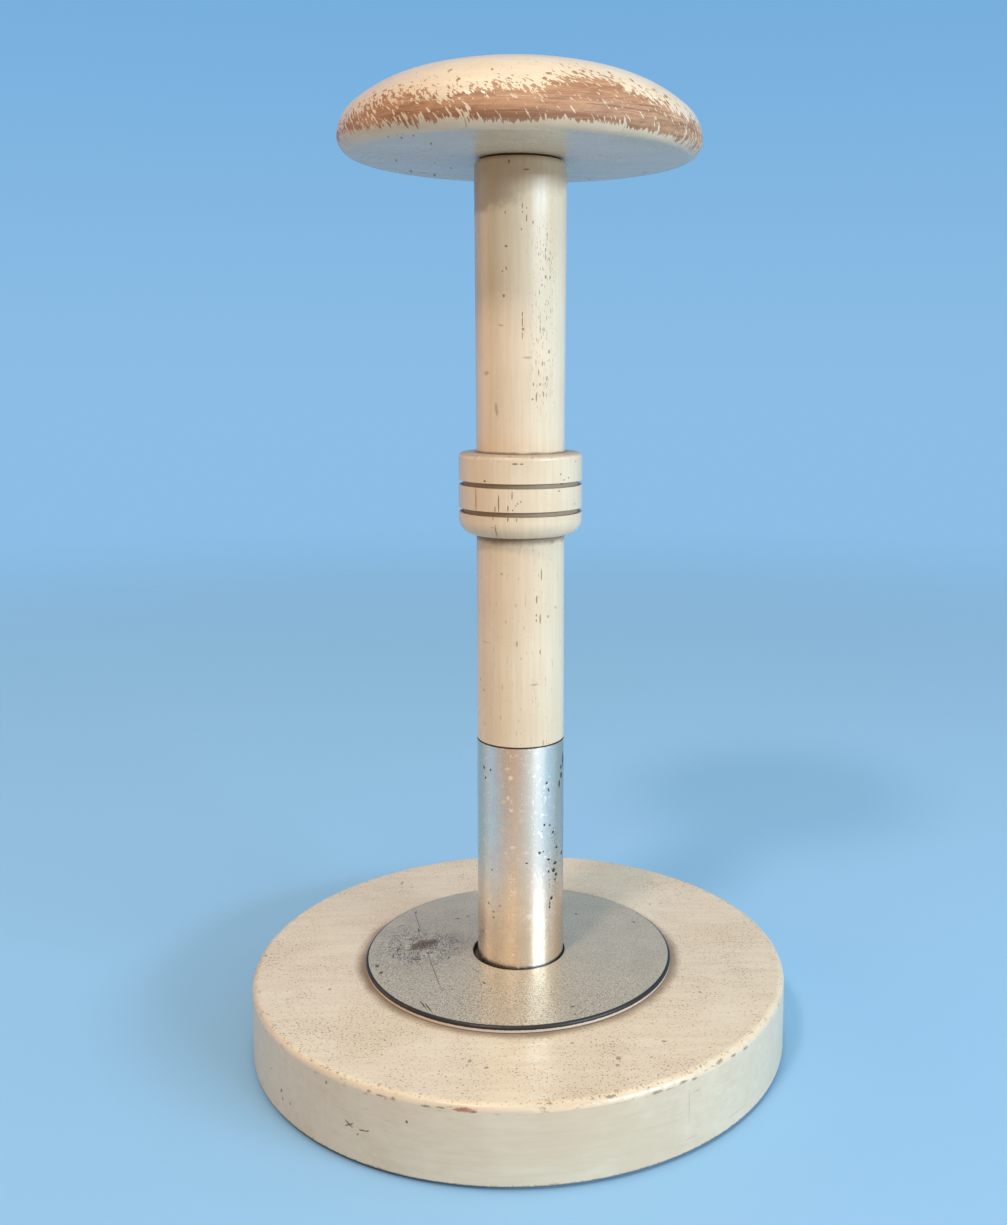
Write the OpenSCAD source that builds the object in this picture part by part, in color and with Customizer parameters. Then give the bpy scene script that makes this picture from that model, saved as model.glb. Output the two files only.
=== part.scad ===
// Turned counter-top hat stand: a domed head on a grooved post, a metal foot sleeve,
// a metal trim disc and a heavy round base. Millimetres, +Z up.
// The origin is the middle of the underside, on the surface that the stand rests on.

/* [Base] */
// Thickness of the felt pad under the base
felt_t = 1.2; // [0.8:0.1:2]
// How far the felt pad stays in from the base's edge
felt_inset = 2.5; // [1:0.5:8]
// Radius of the wooden base disc
base_r = 95.6; // [85:0.1:105]
// Height of the wooden base disc
base_h = 25.8; // [22:0.1:30]
// Rounding of the base's top edge
base_top_round = 2.4; // [1:0.1:4]
// Rounding of the base's bottom edge
base_low_round = 0.8; // [0.4:0.1:1.5]

/* [Trim disc] */
// Radius of the metal trim disc
plate_r = 55.4; // [45:0.1:65]
// Thickness of the metal trim disc
plate_t = 2.3; // [1.6:0.1:3]
// Rounding of the trim disc's upper rim
plate_round = 1; // [0.5:0.1:1.2]
// Rounding of the trim disc's lower rim
plate_low_round = 0.3; // [0.1:0.1:0.5]
// Radial room between the foot sleeve and the trim disc's hole
plate_hole_gap = 1; // [0.8:0.1:2]
// How far the loose-fitting trim disc sits off centre, towards -X
plate_shift = 0.6; // [0:0.1:0.6]

/* [Post] */
// Radius of the post up to the collar's top
lower_r = 15.5; // [14:0.05:18]
// Radius of the post under the head, where its slight taper ends
upper_top_r = 16; // [14:0.05:18]
// Height of the joint between the lower and upper post above the base's underside
joint_h = 196; // [194:0.5:198]
// Height of the post's top above the base's underside
post_top_h = 310.6; // [290:0.1:330]
// Rounding of the post's top edge
post_top_round = 1.9; // [0.8:0.1:3]
// Radius of the tenon that joins the upper post to the lower post
tenon_r = 8; // [6:0.5:10]
// Length of that tenon
tenon_l = 26; // [18:1:32]

/* [Foot sleeve] */
// Outer radius of the metal foot sleeve
sleeve_r = 15.55; // [14:0.05:18]
// Wall of the metal foot sleeve
sleeve_wall = 1.2; // [0.8:0.1:1.6]
// Height of the sleeve's top edge above the base's underside
sleeve_top_h = 108; // [90:0.5:125]
// Open line between the sleeve's top edge and the post's shoulder
sleeve_line = 0.5; // [0.3:0.1:0.8]
// Depth of the base socket that holds the sleeve and the post's foot
socket_depth = 13; // [10:0.5:14]

/* [Collar] */
// Outer radius of the collar
collar_r = 21.7; // [19:0.1:25]
// Height of the collar's lower face above the base's underside
collar_low_h = 182; // [170:0.5:185]
// Height of the collar
collar_h = 28.8; // [26:0.1:34]
// Rounding of the collar's top edge
collar_top_round = 1.7; // [0.6:0.1:3]
// Rounding of the collar's lower edge
collar_low_round = 5.6; // [2:0.1:6]
// Heights of the two groove centres above the collar's lower face
groove_heights = [8.8, 18.4]; // [8:0.1:24]
// Height of each groove
groove_h = 1.7; // [1:0.1:2.4]
// Depth of each groove
groove_depth = 1.6; // [0.8:0.1:2.4]

/* [Head] */
// Height of the head from its flat underside to its crown
head_h = 31.45; // [29:0.05:34]
// Radius of the arc over the head's crown
crown_arc_r = 134.4; // [120:0.1:150]
// Angle that the crown arc turns through before the shoulder arc takes over
crown_turn = 17.1; // [15:0.1:19]
// Radius of the shoulder arc
shoulder_arc_r = 49.3; // [44:0.1:54]
// Angle that the shoulder arc turns through before the rim arc takes over
shoulder_turn = 24.6; // [22:0.1:27]
// Radius of the arc that rounds the rim
rim_arc_r = 12.8; // [11:0.1:14]
// Rounding of the head's lower edge
head_low_round = 5.64; // [4:0.02:6]

/* [Head fastening] */
// Thickness of the fibre washer between the post and the head
washer_t = 0.6; // [0.5:0.1:1.5]
// Radius of the fibre washer
washer_r = 14; // [11:0.1:14]
// Radius of the threaded stud that carries the head
stud_r = 5; // [4:0.5:6]
// Length of the stud above the post
stud_up = 16; // [14:0.5:18]
// Length of the stud in the post
stud_down = 38; // [25:1:50]
// Radial clearance between the stud and the insert's thread
stud_clear = 0.08; // [0.03:0.01:0.1]
// Outer radius of the threaded insert in the head
insert_r = 8; // [7:0.5:9]
// Length of the threaded insert
insert_l = 14; // [12:0.5:15]

/* [Base screw] */
// Radius of the base screw's shank
screw_r = 4; // [3:0.5:5]
// Length of the base screw under its head
screw_l = 62; // [45:1:75]
// Width of the base screw's hexagonal head across its flats
screw_head_af = 13; // [10:0.5:15]
// Height of the base screw's hexagonal head
screw_head_h = 5.3; // [4:0.1:5.5]
// Radius of the washer under the screw's head
screw_washer_r = 12; // [10:0.5:14]
// Thickness of that washer
screw_washer_t = 1.5; // [1:0.1:2]
// Depth of the counterbore that hides the screw's head
counterbore_depth = 8; // [7.5:0.1:8.5]

/* [Hidden] */
$fn = 120;
// Pitch and groove depth of the stud's thread, and of the base screw's wood thread
thread_pitch = 1.5;
thread_depth = 0.45;
lag_pitch = 3;
lag_depth = 0.7;
// Small room left round a screw or at the end of a tenon
hole_room = 0.4;
end_room = 1;

base_z = felt_t;
base_top_z = base_z + base_h;
socket_z = base_top_z - socket_depth;
counterbore_z = base_z + counterbore_depth;
sleeve_top_z = base_z + sleeve_top_h;
shoulder_z = sleeve_top_z + sleeve_line;
collar_z = base_z + collar_low_h;
collar_top_z = collar_z + collar_h;
joint_z = base_z + joint_h;
post_top_z = base_z + post_top_h;
head_z = post_top_z + washer_t;
head_top_z = head_z + head_h;
foot_r = sleeve_r - sleeve_wall;
plate_hole_r = sleeve_r + plate_hole_gap;
screw_tip_z = counterbore_z + screw_l;

// The head's outline is a chain of three tangent arcs; each centre lies on the last arc's end radius
function along(turn) = [sin(turn), cos(turn)];
crown_centre = [0, head_top_z - crown_arc_r];
crown_end = crown_centre + crown_arc_r * along(crown_turn);
shoulder_centre = crown_end - shoulder_arc_r * along(crown_turn);
rim_turn = crown_turn + shoulder_turn;
shoulder_end = shoulder_centre + shoulder_arc_r * along(rim_turn);
rim_centre = shoulder_end - rim_arc_r * along(rim_turn);
head_r = rim_centre[0] + rim_arc_r;

// Right half of a disc's outline, standing on height 0; its lower corner may stay sharp
module disc_outline(r, h, top_round, low_round = 0) {
    translate([0, low_round]) square([r - top_round, h - low_round]);
    translate([r - top_round, h - top_round]) circle(top_round);
    translate([0, low_round]) square([r, h - top_round - low_round]);
    if (low_round > 0) {
        square([r - low_round, h - top_round]);
        translate([r - low_round, low_round]) circle(low_round);
    }
}

// A threaded rod: a cylinder with a row of ring grooves that stand for the thread
module threaded_rod(r, z0, z1, pitch, depth) {
    turns = floor((z1 - z0) / pitch) - 1;
    rotate_extrude() difference() {
        translate([0, z0]) square([r, z1 - z0]);
        for (i = [1 : turns]) translate([r, z0 + i * pitch])
            polygon([[0.1, -pitch * 0.35], [0.1, pitch * 0.35], [-depth, 0]]);
    }
}

module felt_pad() {
    color("dimgray") cylinder(h = felt_t, r = base_r - felt_inset);
}

module base_disc() {
    color("wheat") difference() {
        translate([0, 0, base_z])
            rotate_extrude() disc_outline(base_r, base_h, base_top_round, base_low_round);
        translate([0, 0, socket_z]) cylinder(h = socket_depth + 1, r = sleeve_r);
        translate([0, 0, base_z - 1]) cylinder(h = counterbore_depth + 1, r = screw_washer_r + hole_room);
        translate([0, 0, base_z]) cylinder(h = base_h, r = screw_r + hole_room);
    }
}

// Coach screw that is driven up through the base into the foot of the post
module base_screw() {
    head_low_z = counterbore_z - screw_washer_t - screw_head_h;
    color("gray") union() {
        translate([0, 0, head_low_z])
            cylinder(h = screw_head_h, r = screw_head_af / 2 / cos(30), $fn = 6);
        threaded_rod(screw_r, head_low_z + 1, screw_tip_z - screw_r, lag_pitch, lag_depth);
        translate([0, 0, screw_tip_z - screw_r]) cylinder(h = screw_r, r1 = screw_r, r2 = 0.6);
    }
}

module base_screw_washer() {
    color("gray") translate([0, 0, counterbore_z - screw_washer_t]) difference() {
        cylinder(h = screw_washer_t, r = screw_washer_r);
        translate([0, 0, -1]) cylinder(h = screw_washer_t + 2, r = screw_r + hole_room);
    }
}

// The disc lies loose over the sleeve, so its hole is larger and it has slipped to one side
module trim_disc() {
    color("silver") difference() {
        translate([-plate_shift, 0, base_top_z])
            rotate_extrude() disc_outline(plate_r, plate_t, plate_round, plate_low_round);
        translate([-plate_shift, 0, base_top_z - 1]) cylinder(h = plate_t + 2, r = plate_hole_r);
    }
}

module foot_sleeve() {
    color("silver") translate([0, 0, socket_z]) difference() {
        cylinder(h = sleeve_top_z - socket_z, r = sleeve_r);
        translate([0, 0, -1]) cylinder(h = sleeve_top_z - socket_z + 2, r = foot_r);
    }
}

// The foot is turned down to fit the sleeve, and the top is bored for the upper post's tenon
module lower_post() {
    color("wheat") difference() {
        union() {
            translate([0, 0, socket_z]) cylinder(h = shoulder_z - socket_z, r = foot_r);
            translate([0, 0, shoulder_z]) cylinder(h = joint_z - shoulder_z, r = lower_r);
        }
        translate([0, 0, joint_z - tenon_l - end_room]) cylinder(h = tenon_l + end_room + 1, r = tenon_r);
        translate([0, 0, socket_z - 1]) cylinder(h = screw_tip_z - socket_z + 1 + end_room, r = screw_r);
    }
}

// The ring slides over both posts and hides the joint between them
module collar() {
    color("wheat") difference() {
        translate([0, 0, collar_z]) rotate_extrude() difference() {
            disc_outline(collar_r, collar_h, collar_top_round, collar_low_round);
            for (h = groove_heights) translate([collar_r - groove_depth, h - groove_h / 2])
                square([groove_depth + 1, groove_h]);
        }
        translate([0, 0, collar_z - 1]) cylinder(h = collar_h + 2, r = lower_r);
    }
}

module upper_post() {
    color("wheat") difference() {
        union() {
            translate([0, 0, joint_z - tenon_l]) cylinder(h = tenon_l + 1, r = tenon_r);
            translate([0, 0, joint_z]) cylinder(h = collar_top_z - joint_z, r = lower_r);
            translate([0, 0, collar_top_z])
                cylinder(h = post_top_z - post_top_round - collar_top_z, r1 = lower_r, r2 = upper_top_r);
            translate([0, 0, post_top_z - 2 * post_top_round])
                rotate_extrude() disc_outline(upper_top_r, 2 * post_top_round, post_top_round);
        }
        translate([0, 0, post_top_z - stud_down]) cylinder(h = stud_down + 1, r = stud_r);
    }
}

module head_stud() {
    color("gray") threaded_rod(stud_r, post_top_z - stud_down, post_top_z + stud_up, thread_pitch, thread_depth);
}

module head_washer() {
    color("#2b211b") translate([0, 0, post_top_z]) difference() {
        cylinder(h = washer_t, r = washer_r);
        translate([0, 0, -1]) cylinder(h = washer_t + 2, r = stud_r + hole_room);
    }
}

module head_insert() {
    color("goldenrod") translate([0, 0, head_z]) difference() {
        cylinder(h = insert_l, r = insert_r);
        translate([0, 0, -1]) cylinder(h = insert_l + 2, r = stud_r + stud_clear);
    }
}

// The part of a circle between two of its radii, which reaches back to the centre
module arc_wedge(centre, r, turn_from, turn_to) {
    reach = r * 1.2;
    intersection() {
        translate(centre) circle(r, $fn = 360);
        polygon([centre, centre + reach * along(turn_from), centre + reach * along(turn_to)]);
    }
}

module head_outline() {
    low_centre_z = head_z + head_low_round;
    intersection() {
        translate([0, low_centre_z]) square([head_r, head_h]);
        union() {
            arc_wedge(crown_centre, crown_arc_r, 0, crown_turn);
            arc_wedge(shoulder_centre, shoulder_arc_r, crown_turn, rim_turn);
            arc_wedge(rim_centre, rim_arc_r, rim_turn, 90);
            polygon([[0, low_centre_z], crown_centre, shoulder_centre, rim_centre, [head_r, rim_centre[1]],
                [head_r, low_centre_z]]);
        }
    }
    translate([0, head_z]) square([head_r - head_low_round, head_low_round + 1]);
    translate([head_r - head_low_round, low_centre_z]) circle(head_low_round);
}

module head() {
    color("bisque") difference() {
        rotate_extrude() head_outline();
        translate([0, 0, head_z - 1]) cylinder(h = insert_l + 1, r = insert_r);
        translate([0, 0, head_z]) cylinder(h = stud_up + 2 * end_room, r = stud_r + hole_room);
    }
}

felt_pad();
base_disc();
base_screw();
base_screw_washer();
trim_disc();
foot_sleeve();
lower_post();
collar();
upper_post();
head_stud();
head_washer();
head_insert();
head();
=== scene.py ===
# %% [markdown]
# # A worn hat stand
# A shop counter's hat stand is a few turned pieces on one axis: a heavy base, a post with a grooved
# collar, and a domed head. All of the shapes are already right in the packed model, so this notebook
# keeps every one of its solids and spends its effort on finishes: cream lacquer that has gone glossy and
# yellow with age, bare wood where hats have rubbed it off, a pitted metal sleeve and a tarnished disc.

# %% Load the frame
import math

import bpy
from mathutils import Matrix, Vector


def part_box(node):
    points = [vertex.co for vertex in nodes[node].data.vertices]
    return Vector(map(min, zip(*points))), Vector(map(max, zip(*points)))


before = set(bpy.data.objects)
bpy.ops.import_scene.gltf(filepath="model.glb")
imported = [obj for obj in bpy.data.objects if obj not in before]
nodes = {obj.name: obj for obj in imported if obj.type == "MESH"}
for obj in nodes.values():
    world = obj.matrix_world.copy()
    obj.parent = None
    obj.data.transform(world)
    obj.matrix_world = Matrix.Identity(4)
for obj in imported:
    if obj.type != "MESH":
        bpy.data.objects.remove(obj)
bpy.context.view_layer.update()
MM = 0.001
print("pieces:", sorted(nodes))

# %% [markdown]
# ## Places on the object
# Marks on turned work are easiest to place by height up the axis and by angle round it. These heights
# are read from the packed solids, so that a mark stays on its piece if a size changes. Angle 0 faces the
# front (-Y), and angles grow towards +X.

# %% Heights of the pieces, in millimetres


def low(node):
    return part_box(node)[0].z / MM


def high(node):
    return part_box(node)[1].z / MM


def radius(node):
    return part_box(node)[1].x / MM


HEAD_LOW = low("head")
HEAD_R = radius("head")
POST_TOP = high("upper_post")
POST_R = radius("upper_post")
COLLAR_LOW, COLLAR_TOP = low("collar"), high("collar")
COLLAR_R = radius("collar")
SLEEVE_TOP = high("foot_sleeve")
SLEEVE_R = radius("foot_sleeve")
BASE_LOW, BASE_TOP = low("base_disc"), high("base_disc")
BASE_R = radius("base_disc")
DISC_TOP = high("trim_disc")
DISC_R = (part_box("trim_disc")[1].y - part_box("trim_disc")[0].y) / 2 / MM
DISC_X = (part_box("trim_disc")[1].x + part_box("trim_disc")[0].x) / 2 / MM
print("head from", round(HEAD_LOW, 1), "collar", round(COLLAR_LOW, 1), "to", round(COLLAR_TOP, 1))

# %% [markdown]
# ## The camera
# The stand is seen from a little above its collar, so that the base shows its top and the head shows its
# underside. The lens axis passes to the right of the post and the frame sits off centre, which is
# a shift and not a turn of the camera. A look direction and a roll make the camera's three axes.

# %% Camera
SENSOR_MM = 36
FOCAL_PER_HEIGHT = 1.0346
EYE = Vector((0, -445.4, 243.0)) * MM
AIM_RIGHT, AIM_DOWN, ROLL = math.radians(2.38), math.radians(6.16), math.radians(0.27)

look = Vector((
    math.sin(AIM_RIGHT) * math.cos(AIM_DOWN),
    math.cos(AIM_RIGHT) * math.cos(AIM_DOWN),
    -math.sin(AIM_DOWN),
))
level_right = Vector((math.cos(AIM_RIGHT), -math.sin(AIM_RIGHT), 0))
level_up = level_right.cross(look)
right = level_right * math.cos(ROLL) + level_up * math.sin(ROLL)
up = level_up * math.cos(ROLL) - level_right * math.sin(ROLL)

camera_data = bpy.data.cameras.new("camera")
camera_data.sensor_width = SENSOR_MM
camera_data.lens = SENSOR_MM * FOCAL_PER_HEIGHT
camera_data.shift_x = -0.0567
camera_data.shift_y = -0.0918
camera_data.clip_start = 0.01
camera = bpy.data.objects.new("camera", camera_data)
camera.matrix_world = Matrix.Translation(EYE) @ Matrix((right, up, -look)).transposed().to_4x4()
bpy.context.scene.collection.objects.link(camera)
bpy.context.scene.camera = camera
print("lens", round(camera_data.lens, 2), "mm on a", SENSOR_MM, "mm sensor")

# %% [markdown]
# ## Shader maths as Python
# A worn finish is mostly masks, and masks are sums and products. Drawn as nodes they soon get unreadable,
# so one small class wraps a socket and lets Python's own operators add the Math nodes. Anything that isn't
# plain arithmetic comes from one method, `node`, which takes the node's type, its settings and its inputs.

# %% The Wire and Recipe classes


class Wire:
    """One output socket of a shader tree, usable in ordinary arithmetic."""

    def __init__(self, recipe, socket):
        self.recipe, self.socket = recipe, socket

    def _math(self, operation, a, b):
        return self.recipe.node("ShaderNodeMath", {"operation": operation}, {0: a, 1: b})

    def __add__(self, other):
        return self._math("ADD", self, other)

    def __sub__(self, other):
        return self._math("SUBTRACT", self, other)

    def __rsub__(self, other):
        return self._math("SUBTRACT", other, self)

    def __mul__(self, other):
        return self._math("MULTIPLY", self, other)

    def __truediv__(self, other):
        return self._math("DIVIDE", self, other)

    def __pow__(self, power):
        return self._math("POWER", self, power)

    __radd__, __rmul__ = __add__, __mul__


class Recipe:
    """A node tree that is written down like a recipe, one ingredient at a time."""

    def __init__(self, owner):
        owner.use_nodes = True
        self.tree = owner.node_tree
        self.tree.nodes.clear()

    def node(self, kind, settings=None, inputs=None, output=0):
        made = self.tree.nodes.new(kind)
        for name, value in (settings or {}).items():
            if name == "stops":
                place_stops(made.color_ramp, value)
            else:
                setattr(made, name, value)
        for name, value in (inputs or {}).items():
            if isinstance(value, Wire):
                self.tree.links.new(value.socket, made.inputs[name])
            else:
                made.inputs[name].default_value = value
        return Wire(self, made.outputs[output]) if made.outputs else None

    def least(self, a, b):
        return self.node("ShaderNodeMath", {"operation": "MINIMUM"}, {0: a, 1: b})

    def most(self, a, b):
        return self.node("ShaderNodeMath", {"operation": "MAXIMUM"}, {0: a, 1: b})

    def smooth(self, value, start, end):
        """0 up to start, 1 from end, and an S-curve between them; start may be the larger."""
        inputs = {"Value": value, "From Min": start, "From Max": end}
        return self.node("ShaderNodeMapRange", {"interpolation_type": "SMOOTHSTEP"}, inputs)

    def between(self, value, start, end, soft):
        return self.smooth(value, start - soft, start + soft) * self.smooth(value, end + soft, end - soft)

    def vector(self, x, y, z):
        return self.node("ShaderNodeCombineXYZ", inputs={"X": x, "Y": y, "Z": z})

    def noise(self, place, scale=1, detail=3, roughness=0.55, distortion=0):
        inputs = {"Vector": place, "Scale": scale, "Detail": detail, "Roughness": roughness}
        return self.node("ShaderNodeTexNoise", inputs={**inputs, "Distortion": distortion})

    def mix(self, mask, a, b, blend="MIX"):
        settings = {"data_type": "RGBA", "blend_type": blend}
        return self.node("ShaderNodeMix", settings, {0: mask, 6: colour(a), 7: colour(b)}, 2)


def colour(value):
    return value if isinstance(value, Wire) else (*value, 1)[:4]


def place_stops(ramp, stops):
    for position, value in stops[1:-1]:
        ramp.elements.new(position).color = colour(value)
    for element, (position, value) in ((ramp.elements[0], stops[0]), (ramp.elements[-1], stops[-1])):
        element.position, element.color = position, colour(value)


print("a recipe can make:", [name for name in vars(Recipe) if not name.startswith("_")])

# %% [markdown]
# ## Where a point is, seen by a turner
# `Turned` gives a material the height, the distance from the axis and the angle round it, all in
# millimetres and degrees. `wrapped` rolls a flat texture round the axis without a seam: the angle goes back
# to a place on a circle, a `lean` makes its streaks climb like a screw, and `stretch` draws them out
# lengthways. `unrolled` lays the surface flat instead, which is how single marks are placed on it.

# %% Turned coordinates


class Turned:
    def __init__(self, recipe):
        self.recipe = recipe
        place = recipe.node("ShaderNodeTexCoord", output="Object")
        self.x, self.y, self.z = (
            recipe.node("ShaderNodeSeparateXYZ", inputs={"Vector": place}, output=axis) * (1 / MM)
            for axis in "XYZ"
        )
        self.r = (self.x * self.x + self.y * self.y) ** 0.5
        self.radians = recipe.node("ShaderNodeMath", {"operation": "ARCTAN2"}, {0: self.x, 1: self.y * -1})
        self.angle = self.radians * math.degrees(1)
        self.point = recipe.vector(self.x, self.y, self.z)

    def wrapped(self, size, lean=0, stretch=1, run=None, squeeze=1):
        """Seamless coordinates on a cylinder of radius size; a positive lean climbs to the right."""
        recipe, run = self.recipe, run or self.z
        turn = self.radians - run * (math.tan(math.radians(lean)) / size)
        sine = recipe.node("ShaderNodeMath", {"operation": "SINE"}, {0: turn})
        cosine = recipe.node("ShaderNodeMath", {"operation": "COSINE"}, {0: turn})
        return recipe.vector(sine * (size / squeeze), cosine * (size / squeeze), run / stretch)

    def unrolled(self, size):
        return self.recipe.vector(self.radians * size, self.z, 0)

    def plan(self):
        return self.recipe.vector(self.x, self.y, 0)


print("ways to lay a texture:", [name for name in vars(Turned) if not name.startswith("_")])

# %% [markdown]
# ## Single marks
# Noise can scatter wear, but a dent or a scratch that everybody remembers has a place of its own. Space is
# turned upright for the mark, shifted and stretched until the mark is a circle of radius 1, and the nearest
# of all the circles gives one mask. A little noise tears the edges. Marks with the same lean share their
# turned space, and Vector Math does the rest, because long chains of Mapping nodes fill the renderer's
# memory for one material and the piece turns black.

# %% Marks


def marks(recipe, place, spots, ragged=0.5):
    """Mask of small ellipses: each is (across, up, half width, half length, lean to the right)."""
    nearest = None
    upright = {0: place}
    for across, along, half_width, half_length, lean in sorted(spots, key=lambda spot: spot[4]):
        turn = math.radians(lean)
        if lean not in upright:
            upright[lean] = recipe.node(
                "ShaderNodeVectorRotate", {"rotation_type": "Z_AXIS"}, {"Vector": place, "Angle": turn})
        middle = Matrix.Rotation(turn, 2) @ Vector((across, along))
        local = recipe.node("ShaderNodeVectorMath", {"operation": "MULTIPLY_ADD"}, {
            0: upright[lean],
            1: (1 / half_width, 1 / half_length, 0),
            2: (-middle.x / half_width, -middle.y / half_length, 0),
        })
        distance = recipe.node("ShaderNodeVectorMath", {"operation": "LENGTH"}, {0: local}, "Value")
        nearest = distance if nearest is None else recipe.least(nearest, distance)
    torn = recipe.noise(place, 2.5, 2) - 0.5
    return recipe.smooth(nearest + torn * (2 * ragged), 1.0, 0.6)


def round_marks(recipe, turned, size, start, spots, ragged=0.5):
    """The same on a cylinder: each spot is (degrees, mm up from start, half width, half length, lean)."""
    placed = [(math.radians(a) * size, start + up, *shape) for a, up, *shape in spots]
    return marks(recipe, turned.unrolled(size), placed, ragged)


print("one degree on the post is", round(math.radians(1) * POST_R, 2), "mm wide")

# %% [markdown]
# ## Cream lacquer over wood
# The real finish is one thing on every wooden piece: cream lacquer, gone yellow and glossy, over pinkish
# brown wood. So one function makes it, and each piece passes its own masks: where the lacquer is gone, where
# hands and dust have left dirt, and where something has scuffed it dark. On some pieces the dirt and scuff
# masks also carry painted shade. The wood's grain runs across the discs and up the posts, and its ridges
# show through the lacquer as faint lines, so it is passed in as well.

# %% Lacquer
CREAM = (0.82, 0.69, 0.51)
CREAM_OLD = (0.75, 0.60, 0.42)
WOOD_LIGHT = (0.54, 0.295, 0.160)
WOOD_DARK = (0.33, 0.155, 0.080)
# The dirt colour also paints cast shadows, and the scuff colour also paints the shade in a gap
DIRT_AND_SHADE = (0.22, 0.145, 0.095)
SCUFF_AND_SHADE = (0.13, 0.078, 0.050)
LACQUER_MM = 0.10


def lacquer(name, masks):
    """masks(recipe, turned) returns bare, dirt-and-painted-shade, scuff-and-painted-shade masks and grain
    coordinates.
    """
    material = bpy.data.materials.new(name)
    recipe = Recipe(material)
    turned = Turned(recipe)
    bare, dirt_and_shade, scuff_and_shade, grain_place = masks(recipe, turned)

    figure = recipe.noise(grain_place, 0.45, 4, 0.6, 0.5)
    fibres = recipe.noise(grain_place, 1.9, 3, 0.7)
    rings = recipe.smooth(figure * 0.6 + fibres * 0.4, 0.40, 0.62)
    wood = recipe.mix(rings, WOOD_DARK, WOOD_LIGHT)

    cloud = recipe.noise(turned.point, 0.03, 2)
    telegraphed = recipe.noise(grain_place, 0.8, 4, 0.65)
    yellowing = recipe.smooth(cloud * 0.5 + telegraphed * 0.5, 0.36, 0.64)
    cream = recipe.mix(yellowing, CREAM, CREAM_OLD)
    # Dirt and painted shadow both darken the cream here
    painted = recipe.mix(dirt_and_shade, cream, DIRT_AND_SHADE)
    surface = recipe.mix(scuff_and_shade, recipe.mix(bare, painted, wood), SCUFF_AND_SHADE)

    dust = recipe.noise(turned.point, 1.1, 2)
    relief = telegraphed * 0.03 + fibres * bare * 0.06 + dust * 0.012 - bare * LACQUER_MM - scuff_and_shade * 0.05
    bump = recipe.node("ShaderNodeBump", inputs={"Strength": 1.0, "Distance": MM, "Height": relief})

    gloss = 0.22 + cloud * 0.10 + dirt_and_shade * 0.3
    shader = recipe.node("ShaderNodeBsdfPrincipled", inputs={
        "Base Color": surface,
        "Roughness": gloss + (0.60 - gloss) * recipe.most(bare, scuff_and_shade),
        "Specular IOR Level": 0.5,
        "Normal": bump,
    })
    recipe.node("ShaderNodeOutputMaterial", inputs={"Surface": shader})
    return material


def finish_node(node, material):
    nodes[node].material_slots[0].material = material
    print(node, "is finished with", material.name, "of", len(material.node_tree.nodes), "nodes")


# %% [markdown]
# ## The upper post
# Hands lift the stand by this post, and hat pins and brims knock it. The top under the head is darkened by
# handling grime and by the head's shadow, which is painted in. Small knocks have gone through the lacquer in
# short dashes along the grain, mostly on one side, and dirt has collected where the post meets the collar.

# %% Upper post
UPPER_KNOCKS = [
    # degrees, mm below the top, half width, half length, lean
    (-14, -2.4, 0.46, 0.77, 0), (7, -5, 1.3, 0.35, 0), (2, -16.8, 0.23, 1.19, 0),
    (7, -17.5, 0.26, 0.42, 0), (2, -18.8, 0.26, 0.42, 0), (7, -20.8, 0.26, 1.53, 0),
    (15, -22.2, 0.26, 0.68, 0), (1, -24.6, 0.26, 0.59, 0), (-19, -19, 0.26, 0.59, 0),
    (34, -26, 0.26, 0.77, 0), (-18, -30, 0.7, 0.4, 0), (32, -31, 0.26, 0.77, 0),
    (32, -33.5, 0.23, 1.02, 0), (-18, -37.3, 0.26, 0.85, -25), (-23, -38.3, 0.33, 0.42, 0),
    (32, -40, 0.33, 0.85, 0), (39, -40, 0.4, 0.51, 0), (-21, -46.4, 0.46, 0.68, 0),
    (27, -42.7, 0.26, 0.42, 0), (38, -65, 0.46, 0.85, 0), (2, -52.4, 0.26, 1.02, 0),
    (2, -55, 0.23, 2.04, 0), (3, -57.5, 0.46, 0.59, 0), (2, -59.6, 0.2, 1.36, 0),
    (28, -69, 0.26, 1.19, 0), (23, -72, 0.23, 1.36, 0), (35, -74, 0.3, 1.27, 0),
    (16, -76, 0.26, 0.85, 0), (25, -76, 0.4, 0.51, 0), (20, -80.3, 0.3, 1.87, 0),
    (30, -79.4, 0.23, 1.1, 0), (15, -81, 0.4, 0.51, 0),
]
UPPER_SMUDGES = [
    (-48, -72.3, 1.5, 0.9, -20), (-32, -84.5, 0.7, 2.8, -8), (9, -67, 1.9, 0.5, 0),
    (30, -57.5, 0.7, 0.9, -30), (-25, -56.2, 1.3, 0.4, 0),
]


def upper_post_wear(recipe, turned):
    grain = turned.wrapped(POST_R, stretch=22)
    below = POST_TOP - turned.z
    knocks = round_marks(recipe, turned, POST_R, POST_TOP, UPPER_KNOCKS)
    smudges = round_marks(recipe, turned, POST_R, POST_TOP, UPPER_SMUDGES, 0.9)

    dashes = recipe.smooth(recipe.noise(turned.wrapped(POST_R, stretch=5), 2.6, 1), 0.63, 0.68)
    knocked_side = recipe.between(turned.angle, 14, 46, 10) * recipe.between(below, 24, 84, 8)
    dashes = dashes * (0.10 + knocked_side * 0.55)

    hands = recipe.noise(turned.point, 0.16, 4, 0.6)
    # Painted shadow of the head with handling grime: its edge climbs to the right and it is darker on the
    # left
    reach = 12 + hands * 10 - turned.angle * 0.07
    left = recipe.smooth(turned.angle, 40, -30)
    handled_and_head_shadow = recipe.smooth(below, reach, reach - 5) * (0.10 + hands * 0.25 + left * 0.30)
    gathered = recipe.smooth(turned.z + hands * 1.5, COLLAR_TOP + 1.9, COLLAR_TOP + 0.9)
    dirt_and_shade = recipe.most(recipe.most(handled_and_head_shadow, gathered * 0.9), smudges * 0.45)
    return 0, dirt_and_shade, recipe.most(knocks * 0.75, dashes), grain


finish_node("upper_post", lacquer("lacquer_upper_post", upper_post_wear))
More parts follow.
